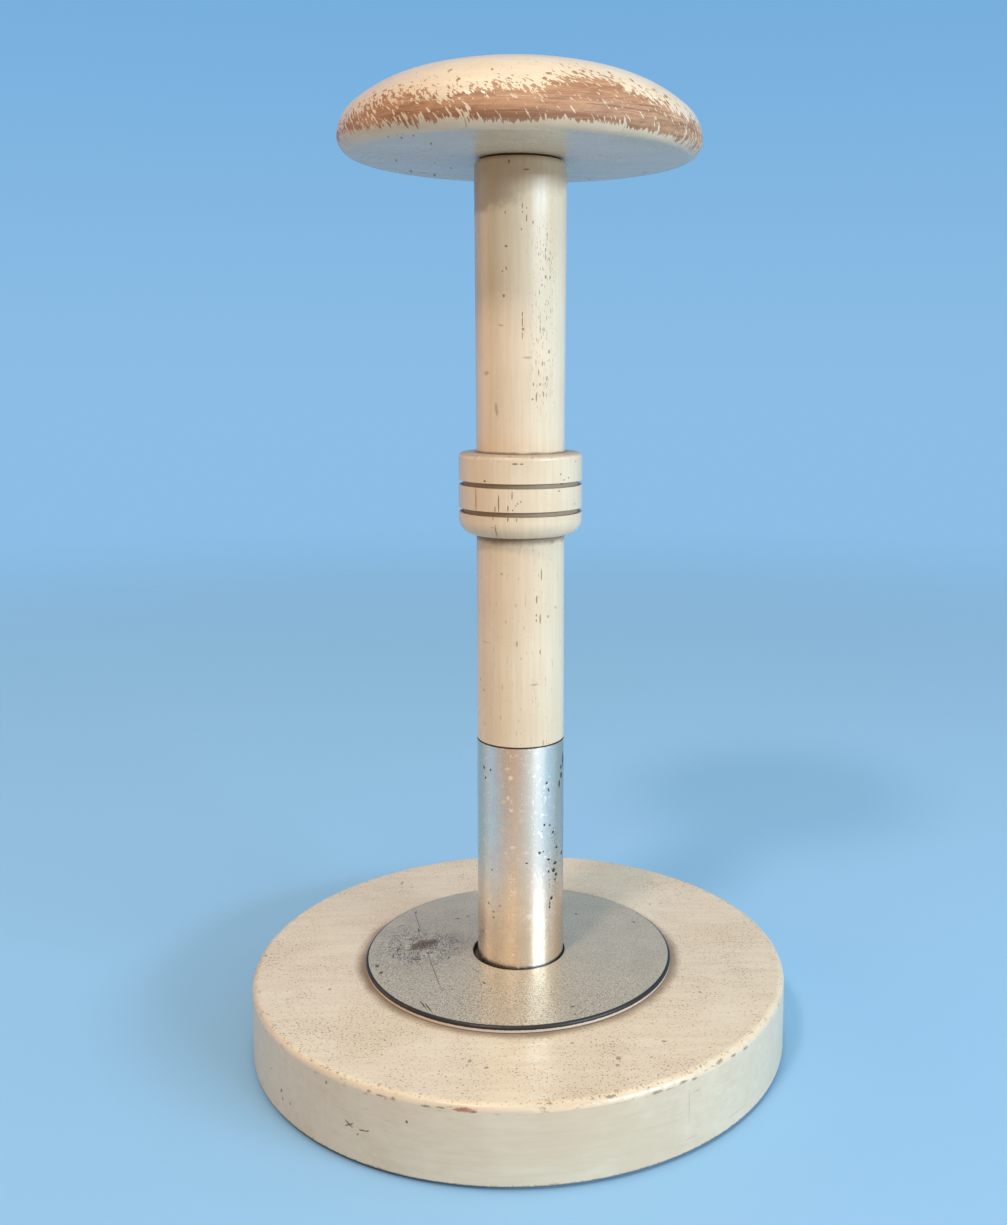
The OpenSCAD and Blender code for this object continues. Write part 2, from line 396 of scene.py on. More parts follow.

# %% [markdown]
# ## The lower post
# This one is cleaner. It has a column of longer knocks down its right-hand side, the collar's shadow painted
# as a dark band just below the collar, and black dirt in the fine gap where the wood meets the sleeve.

# %% Lower post
LOWER_KNOCKS = [
    # degrees, mm above the sleeve, half width, half length, lean
    (27.5, 61.2, 0.3, 2.55, 0), (21, 52.7, 0.4, 1.7, 0), (26, 45.8, 0.36, 2.04, 0),
    (20.5, 47.2, 0.33, 0.59, 0), (20.5, 45.4, 0.33, 0.59, 0), (-4.6, 37.3, 0.26, 1.36, 0),
    (26, 34.2, 0.3, 1.1, 0), (76, 47.5, 0.33, 1.02, 0),
]
LOWER_SMUDGES = [
    (38, 46.3, 0.7, 0.7, 0), (52, 49, 0.7, 0.6, 0), (18, 22.8, 1.8, 0.5, 0), (-66, 22.8, 0.7, 0.6, 0),
    (-56, 19.5, 0.6, 0.6, 0), (-53, 36.8, 2.5, 0.25, 0), (31, 1.6, 0.4, 1.2, 0), (-25, 61.6, 0.6, 0.5, 0),
]


def lower_post_wear(recipe, turned):
    grain = turned.wrapped(POST_R, stretch=30)
    knocks = round_marks(recipe, turned, POST_R, SLEEVE_TOP, LOWER_KNOCKS)
    smudges = round_marks(recipe, turned, POST_R, SLEEVE_TOP, LOWER_SMUDGES, 0.9)
    dashes = recipe.smooth(recipe.noise(turned.wrapped(POST_R, stretch=5), 1.6, 1), 0.69, 0.72) * 0.3
    hands = recipe.noise(turned.point, 0.3, 3)
    # Painted shadow of the collar: a dark band just below it, with a noisy lower edge
    collar_shadow_painted = recipe.smooth(turned.z + hands * 2, COLLAR_LOW - 2.0, COLLAR_LOW + 0.4) * 0.85
    dirt_and_shade = recipe.most(collar_shadow_painted, smudges * 0.5)
    seam = recipe.smooth(turned.z + hands * 0.3, SLEEVE_TOP + 0.85, SLEEVE_TOP + 0.6)
    return 0, dirt_and_shade, recipe.most(recipe.most(knocks * 0.7, dashes), seam), grain


finish_node("lower_post", lacquer("lacquer_lower_post", lower_post_wear))

# %% [markdown]
# ## The collar
# The two grooves are cut right through the lacquer and have gone a matt brown grey. Long hair-thin cracks
# run down the left side of the bands, where the wood has moved, and both ends of the collar are chipped and
# dirty where it meets the posts. That dirt is a mask of radius and height, torn by noise.

# %% Collar
COLLAR_CRACKS = [
    # degrees, mm above the collar's foot, half width, half length, lean
    (-44.5, 13.6, 0.30, 5.2, 0), (-20, 12.6, 0.30, 3.7, 0), (-23.5, 10.7, 0.27, 1.3, 0),
    (-7.7, 15.4, 0.30, 1.8, 0), (-11.4, 11.1, 0.30, 1.5, 0), (-25.5, 7.5, 0.27, 0.8, 0),
    (-11.6, 7.3, 0.3, 1.0, 0), (-3.5, 7.2, 0.27, 0.9, 0), (-23.4, 3.1, 0.27, 2.7, 2),
    (-26.5, 4.3, 0.7, 0.2, 0),
]
COLLAR_SPECKS = [
    (-5, 26.1, 1.2, 0.4, 0), (0.8, 26.1, 0.8, 0.3, 0), (61, 26.2, 0.4, 0.4, 0), (39, 22.3, 0.4, 0.4, 0),
    (43, 20.3, 0.5, 0.3, 0), (49, 20.9, 0.35, 0.4, 0), (-34, 20.0, 0.5, 0.5, 0),
    (0, 13.4, 0.35, 0.3, 0), (-2.7, 12.7, 0.35, 0.3, 0), (-4.3, 12.0, 0.35, 0.3, 0),
    (-7, 10.5, 0.35, 0.3, 0), (37, 16.6, 0.4, 0.35, 0), (60, 11.6, 0.3, 0.4, 0),
    (44, 18.8, 0.8, 0.4, 0),
]
GROOVES_ABOVE_FOOT, GROOVES_BELOW_TOP = 7.5, 8


def collar_wear(recipe, turned):
    grain = turned.wrapped(COLLAR_R, stretch=22)
    cracks = round_marks(recipe, turned, COLLAR_R, COLLAR_LOW, COLLAR_CRACKS, 0.4)
    specks = round_marks(recipe, turned, COLLAR_R, COLLAR_LOW, COLLAR_SPECKS)
    crumbs = recipe.noise(turned.point, 0.9, 3, 0.65)

    foot = recipe.smooth(turned.r + (turned.z - COLLAR_LOW) * 1.6 - crumbs * 12, 12.4, 11.4)
    near_top = recipe.smooth(turned.z, COLLAR_TOP - 3, COLLAR_TOP - 1)
    seat = recipe.smooth(turned.r - crumbs * 5, 14.6, 13.2) * near_top
    rim = recipe.smooth(crumbs, 0.60, 0.66) * near_top
    stain = recipe.smooth(turned.z, COLLAR_TOP - 1.2, COLLAR_TOP - 0.2) * (0.2 + crumbs * 0.5)
    dirt_and_shade = recipe.most(recipe.most(seat, foot) * 0.95, recipe.most(rim * 0.7, stain))
    in_groove = recipe.smooth(turned.r, COLLAR_R - 0.25, COLLAR_R - 0.5) * recipe.between(
        turned.z, COLLAR_LOW + GROOVES_ABOVE_FOOT, COLLAR_TOP - GROOVES_BELOW_TOP, 0.5)
    dirt_and_shade = recipe.most(dirt_and_shade, in_groove * 0.72)
    return cracks * 0.9, dirt_and_shade, recipe.most(specks * 0.8, cracks * 0.12), grain


finish_node("collar", lacquer("lacquer_collar", collar_wear))

# %% [markdown]
# ## The base
# Years of dust, pins and drips have left fine brown specks all over the top, and a brown tide line where the
# metal disc keeps a cloth out. The rounded edge has taken the knocks: most are dark lines, and one shows
# clean orange wood. The side keeps faint level lines from the turner's brush, its left part is darkened with
# painted shade, and the foot edge is rubbed. Close round the sleeve the top is painted dark as the shade seen
# through the gap in the disc's hole.

# %% Base
EDGE_KNOCKS = [
    # degrees, mm above the base's foot, half width, half length, lean
    (16.5, 25.2, 1.9, 0.4, 0), (25.5, 23.5, 2.2, 0.6, 0), (31.5, 23.8, 1.6, 0.45, 0),
    (34, 23.4, 1.4, 0.4, 0), (41, 24.6, 1.8, 0.6, 0), (45, 24.0, 1.4, 0.45, 0), (49, 23.6, 1.6, 0.5, 0),
    (-17, 23.7, 1.6, 0.4, 0), (-26, 23.9, 2.0, 0.3, 0), (-23.4, 24.0, 0.8, 0.5, 0),
    (-28.5, 24.2, 0.9, 0.4, 0), (-14.2, 23.9, 1.6, 0.35, 0),
]
EDGE_BARE = [(-10, 23.9, 3.9, 0.75, 0), (-8.4, 23.6, 1.6, 0.5, 0)]
SIDE_SCRATCHES = [
    (-33.1, 11.6, 0.35, 2.2, -62), (-33.0, 11.3, 0.3, 2.3, 62), (-30, 11.0, 0.3, 1.5, 82),
    (-31, 9.2, 0.4, 0.4, 0), (-28.9, 11.3, 0.25, 1.0, 65), (-58, 12.7, 0.4, 0.4, 0),
    (-53.5, 8.7, 0.5, 0.9, 25), (-53, 6.3, 0.4, 0.8, 0), (-50, 7.0, 0.35, 0.7, -20),
    (-38.6, 21.8, 0.4, 0.7, 0), (-20.7, 17.6, 0.5, 0.6, 0),
]
SIDE_FAINT = [
    (-39, 12.6, 0.25, 8.5, 0), (-29, 18.4, 1.4, 0.3, 0), (-24.5, 16.6, 1.4, 0.3, 0),
    (32.8, 15.5, 0.25, 6.5, 0), (34.7, 19.2, 2.0, 0.35, 0), (46.7, 4.1, 7.0, 0.25, 0),
    (33.7, 4.6, 3.5, 0.25, 0), (-64, 2.6, 2.0, 1.0, 0),
]
TOP_SPOTS = [
    # across, back, half width, half length, lean
    (-15.8, -71, 0.8, 0.8, 0), (-10.5, -75, 0.8, 0.7, 0), (46, -61.5, 1.0, 0.7, 0),
    (16.4, -61.7, 0.9, 0.7, 0), (30.6, -71, 0.9, 1.3, 0), (30, -75, 0.8, 0.8, 0),
    (-49.4, 65.7, 0.5, 2.2, 10), (41, -70.7, 0.6, 0.6, 0), (62, -30, 0.7, 0.7, 0),
    (-66, -24, 0.6, 0.8, 0), (52, 42, 0.6, 0.6, 0),
]
# Height plus the (negative) distance past the rim is largest on the rounded edge; this is its range there
ROUNDED_EDGE = (22.9, 25.2)


def base_wear(recipe, turned):
    board = recipe.vector(turned.x / 20, turned.y / 2.2, turned.z / 2.2)
    up = turned.z - BASE_LOW
    on_top = recipe.smooth(up, BASE_TOP - BASE_LOW - 0.8, BASE_TOP - BASE_LOW - 0.3)
    edge = recipe.between(turned.r - BASE_R + up, *ROUNDED_EDGE, 0.5)

    knocks = round_marks(recipe, turned, BASE_R, BASE_LOW, EDGE_KNOCKS, 1.1)
    scratches = round_marks(recipe, turned, BASE_R, BASE_LOW, SIDE_SCRATCHES, 0.4)
    faint = round_marks(recipe, turned, BASE_R, BASE_LOW, SIDE_FAINT, 0.6)
    spots = marks(recipe, turned.plan(), TOP_SPOTS, 0.9)
    bare = round_marks(recipe, turned, BASE_R, BASE_LOW, EDGE_BARE, 0.8)

    patches = recipe.noise(turned.point, 0.06, 3, 0.6)
    specks = recipe.noise(turned.point, 1.3, 2, 0.6)
    fly_specks = recipe.smooth(specks + patches * 0.14, 0.665, 0.72) * on_top
    foot_rub = recipe.smooth(specks * 2.2 - up, 0.35, 0.75) * 0.8
    rubs = recipe.noise(turned.wrapped(BASE_R, squeeze=2.5), 0.8, 4, 0.7)
    edge_rub = recipe.smooth(rubs, 0.585, 0.65) * edge

    from_disc = ((turned.x - DISC_X) * (turned.x - DISC_X) + turned.y * turned.y) ** 0.5 - DISC_R
    tide = recipe.smooth(from_disc - patches * 4 - specks * 3, 1.2, -3.2) * on_top
    level_lines = recipe.noise(turned.wrapped(BASE_R, squeeze=25), 1.3, 4, 0.7)
    # Painted shade: the base's side darkens towards the left, away from the window light
    shaded_left_side = recipe.smooth(turned.angle, 10, -40)
    side_film_and_shade = (0.05 + shaded_left_side * 0.11 + recipe.smooth(level_lines, 0.45, 0.75) * 0.07) * (1 - on_top)
    film_and_shade = recipe.most(recipe.smooth(patches, 0.50, 0.72) * 0.05, side_film_and_shade)
    dirt_and_shade = recipe.most(recipe.most(tide * 0.85, film_and_shade), recipe.most(faint * 0.3, fly_specks * 0.75))
    dark = recipe.most(recipe.most(knocks * 0.65, scratches * 0.9), recipe.most(spots * 0.6, edge_rub * 0.45))
    # Painted shade: close round the sleeve the top is made dark, as seen through the gap in the disc's hole
    gap_shade_round_sleeve = recipe.smooth(turned.r, SLEEVE_R + 6, SLEEVE_R + 5)
    return recipe.most(bare, foot_rub), dirt_and_shade, recipe.most(dark, gap_shade_round_sleeve), board


finish_node("base_disc", lacquer("lacquer_base", base_wear))

# %% [markdown]
# ## The head
# This is what the eye goes to. Hat brims have rubbed a band of lacquer off all round the widest part, with
# strokes that lean with the way hats are put on. The band's two edges are drawn as heights round the rim,
# noise stretched along the strokes tears them, and where the noise is strong enough flecks of lacquer stay
# behind inside the band. Round the back the band is a guess, a little narrower.

# %% Head: the worn band
BAND_UPPER = [
    # degrees, mm above the head's underside
    (-180, 9.0), (-140, 8.0), (-100, 8.0), (-66, 6.5), (-59, 8.6), (-45, 11.0), (-36, 12.0),
    (-28, 11.0), (-23, 8.8), (-18, 10.6), (-12, 12.0), (3, 11.4), (7, 13.0), (12, 14.8), (16, 16.8),
    (25, 17.0), (29, 16.2), (33, 13.4), (41, 11.9), (49, 11.8), (52, 9.4), (76, 8.8), (120, 8.0),
    (180, 9.0),
]
BAND_LOWER = [
    (-180, 2.6), (-100, 3.0), (-66, 3.8), (-51, 2.7), (-28, 2.1), (-18, 2.7), (-9, 1.6), (3, 1.6), (13, 2.5),
    (24, 2.1), (38, 1.9), (50, 1.7), (64, 0.9), (90, 1.0), (130, 2.2), (180, 2.6),
]
BAND_TALLEST = 20
CHIPS = [
    # degrees, mm above the head's underside, half width, half length, lean
    (-49, 12.9, 0.9, 0.7, 0), (-45, 13.9, 1.1, 0.5, 0), (-39, 14.8, 0.7, 0.5, 0),
    (-30, 15.3, 0.5, 0.5, -30), (-18.5, 14.6, 0.8, 0.8, -35), (-23.5, 18.5, 0.8, 0.6, -30),
    (-9, 18.0, 0.6, 0.5, -35), (7, 14.7, 0.9, 0.7, 0), (8.6, 16.7, 1.4, 0.5, 0),
    (31.5, 19.6, 0.8, 0.6, -30), (31, 18.1, 0.7, 0.5, 0), (39, 17.8, 0.7, 1.0, 20),
    (40, 15.7, 0.8, 0.8, 0), (47, 15.9, 1.3, 0.4, 0), (51, 14.2, 1.6, 0.7, -15),
    (17.4, 17.8, 1.1, 0.9, 0), (20.7, 18.6, 0.8, 0.7, -20), (24, 19.2, 0.6, 0.6, 0),
]
GRAIN_LINES_DARK = [
    (-21, 8.9, 2.6, 0.8, 0), (10, 8.3, 5.0, 0.4, 0), (40, 9.2, 10, 0.28, -3), (30, 7.4, 14, 0.2, 0),
    (-35, 5.6, 9, 0.2, 0), (56, 6.0, 9, 0.25, 0), (0, 4.4, 12, 0.18, 0),
]
GRAIN_LINES_PALE = [(-28, 8.6, 13, 0.22, 3), (-2, 8.9, 7, 0.2, 0), (52, 7.6, 6, 0.22, 0)]
UNDERSIDE_TICKS = [
    # across, back, half width, half length, lean
    (-41, -42, 0.40, 2.5, 0), (-38, -45, 0.35, 2.0, 0), (-36, -47, 0.5, 2.5, 0), (-34, -49, 0.3, 2.0, 0),
    (-33, -44, 0.30, 2.0, 0), (-37, -40, 0.30, 2.5, 0), (-40, 29, 0.4, 4.0, 0), (-36, 33, 2.0, 0.6, 0),
    (-32, 38, 0.40, 4.5, 0), (-25, 21, 0.30, 3.0, 0), (-28.5, -30, 0.35, 2.5, 0), (45, 25.5, 1.2, 0.8, 0),
    (-43, 5, 0.30, 3.0, 0), (-30, 10, 0.30, 2.0, 0), (26, 44, 0.4, 2.0, 30), (10, 50, 1.6, 0.4, 0),
]


def height_round(recipe, turned, points):
    """A height in mm that follows the given points round the axis, from -180 to 180 degrees."""
    stops = [((a + 180) / 360, [h / BAND_TALLEST] * 3) for a, h in points]
    where = turned.angle / 360 + 0.5
    return recipe.node("ShaderNodeValToRGB", {"stops": stops}, {"Fac": where}) * BAND_TALLEST


def head_wear(recipe, turned):
    board = recipe.vector(turned.x / 22, turned.y / 5, turned.z * 1.1)
    up = turned.z - HEAD_LOW
    run = up + (HEAD_R - turned.r)
    upper = height_round(recipe, turned, BAND_UPPER)
    lower = height_round(recipe, turned, BAND_LOWER)
    strokes = recipe.noise(turned.wrapped(HEAD_R, lean=-26, stretch=2.6, run=run), 0.68, 2, 0.6) - 0.5
    teeth = recipe.noise(turned.wrapped(HEAD_R, lean=-8, stretch=1.8, run=run), 1.0, 3, 0.65) - 0.5
    left = recipe.smooth(turned.angle, 8, -22)
    far_right = recipe.smooth(turned.angle, 48, 66)
    from_above = upper - up + strokes * (10 + left * 6)
    from_below = up - lower + teeth * (4 + far_right * 14) + strokes * (2 + left * 5)
    band = recipe.smooth(recipe.least(from_above, from_below), 0.0, 0.35)

    flecks = recipe.noise(turned.wrapped(HEAD_R, lean=-38, stretch=2.0, run=run), 0.85, 2, 0.5)
    many = recipe.most(recipe.smooth(turned.angle, 12, -40), far_right)
    near_edge = recipe.smooth(recipe.least(from_above, from_below), 5.5, 0.5)
    left_over = recipe.smooth(flecks + many * 0.05 + near_edge * 0.06, 0.645, 0.675)
    streaks = round_marks(recipe, turned, HEAD_R, HEAD_LOW, GRAIN_LINES_PALE, 0.8)
    band = band * (1 - recipe.most(left_over, streaks * 0.6))

    nicks = recipe.noise(turned.wrapped(HEAD_R, lean=-34, stretch=1.8, run=run), 0.85, 2, 0.5)
    above = recipe.between(up - upper, -1, 4.5, 2.5)
    nicked = recipe.smooth(nicks + above * 0.10, 0.70, 0.73)
    chips = round_marks(recipe, turned, HEAD_R, HEAD_LOW, CHIPS, 0.9)
    bare = recipe.most(recipe.most(band, nicked), chips) * recipe.smooth(up, 0.3, 0.8)

    dark_lines = round_marks(recipe, turned, HEAD_R, HEAD_LOW, GRAIN_LINES_DARK, 0.7) * bare * 0.55
    rubbed = recipe.noise(turned.wrapped(HEAD_R, lean=50, stretch=9, run=run), 0.42, 2, 0.5)
    dark_lines = recipe.most(dark_lines, recipe.smooth(rubbed, 0.50, 0.64) * bare * 0.13)
    underside = recipe.smooth(up, 0.4, 0.1)
    ticks = marks(recipe, turned.plan(), UNDERSIDE_TICKS, 0.8) * underside
    scratches = recipe.smooth(recipe.noise(turned.point, 0.9, 2, 0.6), 0.70, 0.74) * underside
    grime = recipe.smooth(recipe.noise(turned.point, 0.25, 4, 0.65), 0.5, 0.8) * 0.10
    return bare, recipe.most(grime, scratches * 0.6), recipe.most(dark_lines, ticks * 0.9), board


finish_node("head", lacquer("lacquer_head", head_wear))

# %% [markdown]
# ## The metal sleeve
# A satin tube, nickel-coloured with a warm cast. Away from the front, on its sides and back, it is painted a
# deeper warm brown: painted reflection and shade. Its plating has failed in small black pits, mostly down the
# right, and there are pale spots where drops have dried. Its lower end looks golden only because it mirrors
# the cream base, so no gradient is painted up the tube. The Anisotropic setting smears reflections up and
# down, as on metal that is polished round and round.

# %% Sleeve
SLEEVE_PITS = [
    # degrees, mm above the disc, half width, half length, lean
    (-56, 71.4, 0.55, 0.8, -30), (-42.6, 71.3, 0.5, 0.5, 0), (-52.4, 67.9, 0.5, 0.5, 0),
    (68, 70.4, 1.0, 1.0, 0), (69, 67.3, 1.2, 1.4, 0), (62.5, 64.6, 0.8, 1.7, 0),
    (77, 72.5, 1.2, 3.4, 0), (36.4, 66.7, 0.7, 0.5, -30), (39.5, 64.0, 0.35, 1.0, -20),
    (33, 51.7, 0.6, 0.5, 0), (42, 51.0, 0.45, 0.5, 0), (29, 49.5, 0.25, 0.3, 0),
    (48, 48.0, 0.55, 0.7, 0), (56, 41.8, 0.6, 0.7, 0), (25.6, 41.8, 0.6, 0.6, 0),
    (31, 42.0, 0.35, 0.35, 0), (8, 38.6, 0.7, 0.35, 0), (40, 38.5, 0.9, 0.5, 30),
    (52.5, 36.3, 1.2, 0.7, 0), (49, 33.9, 0.9, 1.0, 0), (40, 34.1, 0.5, 0.6, 0),
    (54.6, 31.9, 0.9, 0.9, 0), (52.6, 30.1, 0.45, 0.9, 0), (71.6, 38.3, 1.1, 1.0, 0),
    (45.3, 23.9, 0.9, 0.9, 30), (42.3, 22.0, 0.35, 1.5, 0), (42.1, 20.8, 0.55, 0.6, 0),
]
SLEEVE_BROWN = [
    (-40.4, 35.0, 0.6, 0.45, 0), (-46.4, 22.2, 0.5, 0.6, -30), (-37.8, 19.6, 0.8, 0.4, 0),
    (-59, 10.4, 0.5, 1.0, 0), (-28, 22.4, 0.6, 0.4, 0), (-38, 17.6, 0.6, 0.5, 0),
]
DRIED_DROPS = [
    (-24, 50.3, 0.9, 0.9, 0), (-13, 69.5, 0.9, 0.9, 0), (-16.5, 62.2, 0.8, 0.9, 0),
    (-23.4, 60.7, 1.1, 0.8, 0), (-30, 54.5, 1.1, 0.5, -20), (-12, 57.8, 0.8, 0.7, 0),
    (0, 57.7, 0.8, 0.6, 0), (0.6, 53.9, 0.8, 0.8, 0), (-10, 44.5, 0.9, 0.7, 0),
    (6.6, 42.3, 0.9, 0.8, 0), (-19.6, 42.1, 0.7, 0.7, 0), (-27.6, 39.1, 0.8, 0.8, 0),
    (-8, 28.0, 1.3, 0.9, 0), (10, 19.0, 1.4, 1.1, 0), (50, 57.0, 0.8, 0.9, 0), (66, 54.0, 0.8, 1.4, 0),
]
NICKEL = (0.98, 0.90, 0.81)
NICKEL_DULL = (0.93, 0.84, 0.75)
NICKEL_SIDE_SHADE = (0.84, 0.66, 0.50)
SIDE_SHADE_FROM, SIDE_SHADE_FULL = 38, 58
CLUSTER_DEGREES, CLUSTER_MM = (40, 62), (22, 54)
PIT_BLACK = (0.022, 0.020, 0.019)


def sleeve_metal():
    material = bpy.data.materials.new("sleeve_metal")
    recipe = Recipe(material)
    turned = Turned(recipe)
    pits = round_marks(recipe, turned, SLEEVE_R, DISC_TOP, SLEEVE_PITS, 0.9)
    brown = round_marks(recipe, turned, SLEEVE_R, DISC_TOP, SLEEVE_BROWN, 0.9)
    drops = round_marks(recipe, turned, SLEEVE_R, DISC_TOP, DRIED_DROPS, 0.9)
    crumbs = recipe.noise(turned.point, 1.5, 3, 0.7)
    cluster = recipe.between(turned.angle, *CLUSTER_DEGREES, 12)
    cluster = cluster * recipe.between(turned.z - DISC_TOP, *CLUSTER_MM, 8)
    pinholes = recipe.smooth(crumbs + cluster * 0.12, 0.70, 0.73)
    pits = recipe.most(pits, pinholes)
    dots = recipe.smooth(recipe.noise(turned.point, 0.75, 1, 0.5), 0.63, 0.67)
    drops = recipe.most(drops, dots * 0.7)
    drawn = recipe.noise(turned.wrapped(SLEEVE_R, stretch=40), 1.4, 3, 0.6)
    haze = recipe.noise(turned.point, 0.22, 4, 0.65)
    tint = recipe.mix(recipe.smooth(haze, 0.35, 0.7), NICKEL, NICKEL_DULL)
    # Painted reflection and shade: the tube turns a deeper warm brown away from the front
    side_reflection_and_shade = recipe.smooth(turned.angle * turned.angle, SIDE_SHADE_FROM ** 2, SIDE_SHADE_FULL ** 2)
    tint = recipe.mix(side_reflection_and_shade * 0.9, tint, NICKEL_SIDE_SHADE)
    tint = recipe.mix(drops * 0.6, tint, (1.0, 0.93, 0.84))
    tint = recipe.mix(brown * 0.8, tint, (0.18, 0.10, 0.055))
    surface = recipe.mix(pits, tint, PIT_BLACK)
    relief = drawn * 0.004 + haze * 0.02 - pits * 0.08 + drops * 0.01
    shader = recipe.node("ShaderNodeBsdfPrincipled", inputs={
        "Base Color": surface,
        "Metallic": 1 - recipe.most(pits, brown * 0.7),
        "Roughness": 0.21 + drawn * 0.08 + haze * 0.06 + drops * 0.25 + pits * 0.4,
        "Anisotropic": 0.8,
        "Anisotropic Rotation": 0.25,
        "Normal": recipe.node("ShaderNodeBump", inputs={"Strength": 1.0, "Distance": MM, "Height": relief}),
    })
    recipe.node("ShaderNodeOutputMaterial", inputs={"Surface": shader})
    return material


finish_node("foot_sleeve", sleeve_metal())

# %% [markdown]
# ## The trim disc
# The disc is tarnished all over in fine grey and brown mottling, with one long scratch, a brown stain and
# scribbled scuffs on the left. Tarnish hides most of the metal, so the metallic value is low and the colour
# does the work. The rim is black, and along the bottom it is bare metal whose pale cream colour is painted
# reflection of the base. Paint, stain and scuffs are not metal at all, so they take the rest of that value
# away.

# %% Trim disc
DISC_SCUFFS = [
    # across, back, half width, half length, lean
    (-46, -4.4, 2.0, 0.35, 88), (-47.5, -3.6, 0.5, 0.4, 0), (-37.4, -7.4, 2.2, 0.45, 0),
    (-34.8, -5, 0.6, 0.5, 0), (-44.7, 0.5, 0.4, 1.7, 20), (-45.5, 20, 1.6, 0.3, -30),
    (-25.9, -6.6, 0.5, 0.9, 0), (-40.9, 8.6, 0.6, 0.6, 0), (-32.6, -40, 0.35, 3.4, -25),
    (-30.7, -42, 0.35, 3.6, -25), (-24.2, 25.8, 1.0, 0.5, 0), (-20.5, 27.9, 0.8, 0.5, 0),
    (-12.6, -25.6, 0.4, 1.3, -25), (21.6, 28.5, 0.7, 0.6, 0), (46, 28.5, 0.7, 0.6, 0),
    (43.4, 20.8, 0.9, 0.5, 30), (17.5, -43, 0.8, 0.6, 0), (18, -48, 0.5, 0.5, 0),
    (-48, 2.5, 0.5, 0.5, 0), (-51, -12, 0.8, 1.4, 0), (-49, -17, 0.8, 1.2, 30),
    (-40.8, 32, 0.4, 1.6, 0), (-38.5, 16, 0.4, 2.0, -12),
]
DISC_SCRATCHES = [
    (-39.5, 24, 0.16, 11, -13), (-36.5, 7, 0.16, 7, -15), (-30.3, -17, 0.2, 17.5, -14),
    (-15.5, -17, 0.15, 4, -35), (20, -47, 0.15, 3.5, 40),
]
PALE_SCRATCHES = [(-26.2, -38.5, 0.2, 5, 8), (-23.5, -33.5, 0.2, 3.2, 75)]
DISC_STAIN = [(-36, 4.4, 3.8, 4.4, 0), (-33.2, 6.0, 2.8, 3.0, 0), (-38.6, 2.6, 2.2, 3.4, 0)]
SCRIBBLES_X, SCRIBBLES_Y = -36, 2
TARNISHED = (0.72, 0.62, 0.47)
TARNISHED_BROWN = (0.54, 0.44, 0.31)
RIM_BLACK = (0.018, 0.017, 0.018)
RIM_BARE_AND_REFLECTION = (0.82, 0.72, 0.60)


def disc_metal():
    material = bpy.data.materials.new("disc_metal")
    recipe = Recipe(material)
    turned = Turned(recipe)
    from_middle = ((turned.x - DISC_X) * (turned.x - DISC_X) + turned.y * turned.y) ** 0.5
    scuffs = marks(recipe, turned.plan(), DISC_SCUFFS, 1.1)
    scratches = marks(recipe, turned.plan(), DISC_SCRATCHES, 0.2)
    pale = marks(recipe, turned.plan(), PALE_SCRATCHES, 0.3)
    stain = marks(recipe, turned.plan(), DISC_STAIN, 1.6)

    fine = recipe.noise(turned.point, 1.5, 3, 0.75)
    broad = recipe.noise(turned.point, 0.10, 4, 0.6)
    mottle = recipe.smooth(fine * 0.75 + broad * 0.25, 0.40, 0.60)
    face = recipe.mix(mottle, TARNISHED_BROWN, TARNISHED)
    grains = recipe.noise(turned.point, 2.4, 2, 0.6)
    front = recipe.smooth(turned.y + turned.x * 0.4, 20, -45)
    peppered = recipe.smooth(grains + broad * 0.16, 0.60, 0.72) * (0.35 + front * 0.5)
    face = recipe.mix(peppered, face, (0.16, 0.11, 0.07))
    aside, beyond = turned.x - SCRIBBLES_X, turned.y - SCRIBBLES_Y
    from_stain = (aside * aside + beyond * beyond) ** 0.5
    scratched = recipe.smooth(from_stain + broad * 18, 33, 13)
    hairs = recipe.noise(recipe.vector(turned.x / 3, turned.y, 0), 0.42, 3, 0.6, 1.2) - 0.5
    cross_hairs = recipe.noise(recipe.vector(turned.x, turned.y / 4, 7), 0.5, 3, 0.6, 0.8) - 0.5
    hair = recipe.smooth(recipe.least(hairs * hairs, cross_hairs * cross_hairs), 0.0006, 0.0001)
    face = recipe.mix(hair * scratched * 0.85, face, (0.06, 0.05, 0.045))
    face = recipe.mix(pale * 0.6, face, (0.75, 0.70, 0.62))
    face = recipe.mix(stain * 0.85, face, (0.08, 0.055, 0.03))
    face = recipe.mix(recipe.most(scuffs * 0.85, scratches * 0.6), face, PIT_BLACK)

    # Painted shade: the disc is made black round its hole, where the gap at the sleeve's foot is dark
    face = recipe.mix(recipe.smooth(from_middle, SLEEVE_R + 1.5, SLEEVE_R + 1.1), face, PIT_BLACK)
    on_rim = recipe.smooth(from_middle, DISC_R - 1.0, DISC_R - 0.8)
    painted = on_rim * recipe.smooth(turned.z + fine * 0.5, BASE_TOP + 1.25, BASE_TOP + 1.35)
    # The rim's very foot, where it meets the base, is made black as well
    painted = recipe.most(painted, on_rim * recipe.smooth(turned.z, BASE_TOP + 0.25, BASE_TOP + 0.15))
    # Painted reflection: the bare foot of the rim is coloured pale cream, as it mirrors the base
    face = recipe.mix(on_rim, face, RIM_BARE_AND_REFLECTION)
    surface = recipe.mix(painted, face, RIM_BLACK)
    dull = recipe.most(stain * 0.8, scuffs * 0.8)
    relief = fine * 0.03 - recipe.most(scuffs, scratches) * 0.05
    shader = recipe.node("ShaderNodeBsdfPrincipled", inputs={
        "Base Color": surface,
        "Metallic": 0.35 - recipe.most(painted, dull) * 0.35,
        "Roughness": 0.27 + mottle * 0.06 + broad * 0.10 + peppered * 0.3 + dull * 0.3,
        "Normal": recipe.node("ShaderNodeBump", inputs={"Strength": 1.0, "Distance": MM, "Height": relief}),
    })
    recipe.node("ShaderNodeOutputMaterial", inputs={"Surface": shader})
    return material


finish_node("trim_disc", disc_metal())

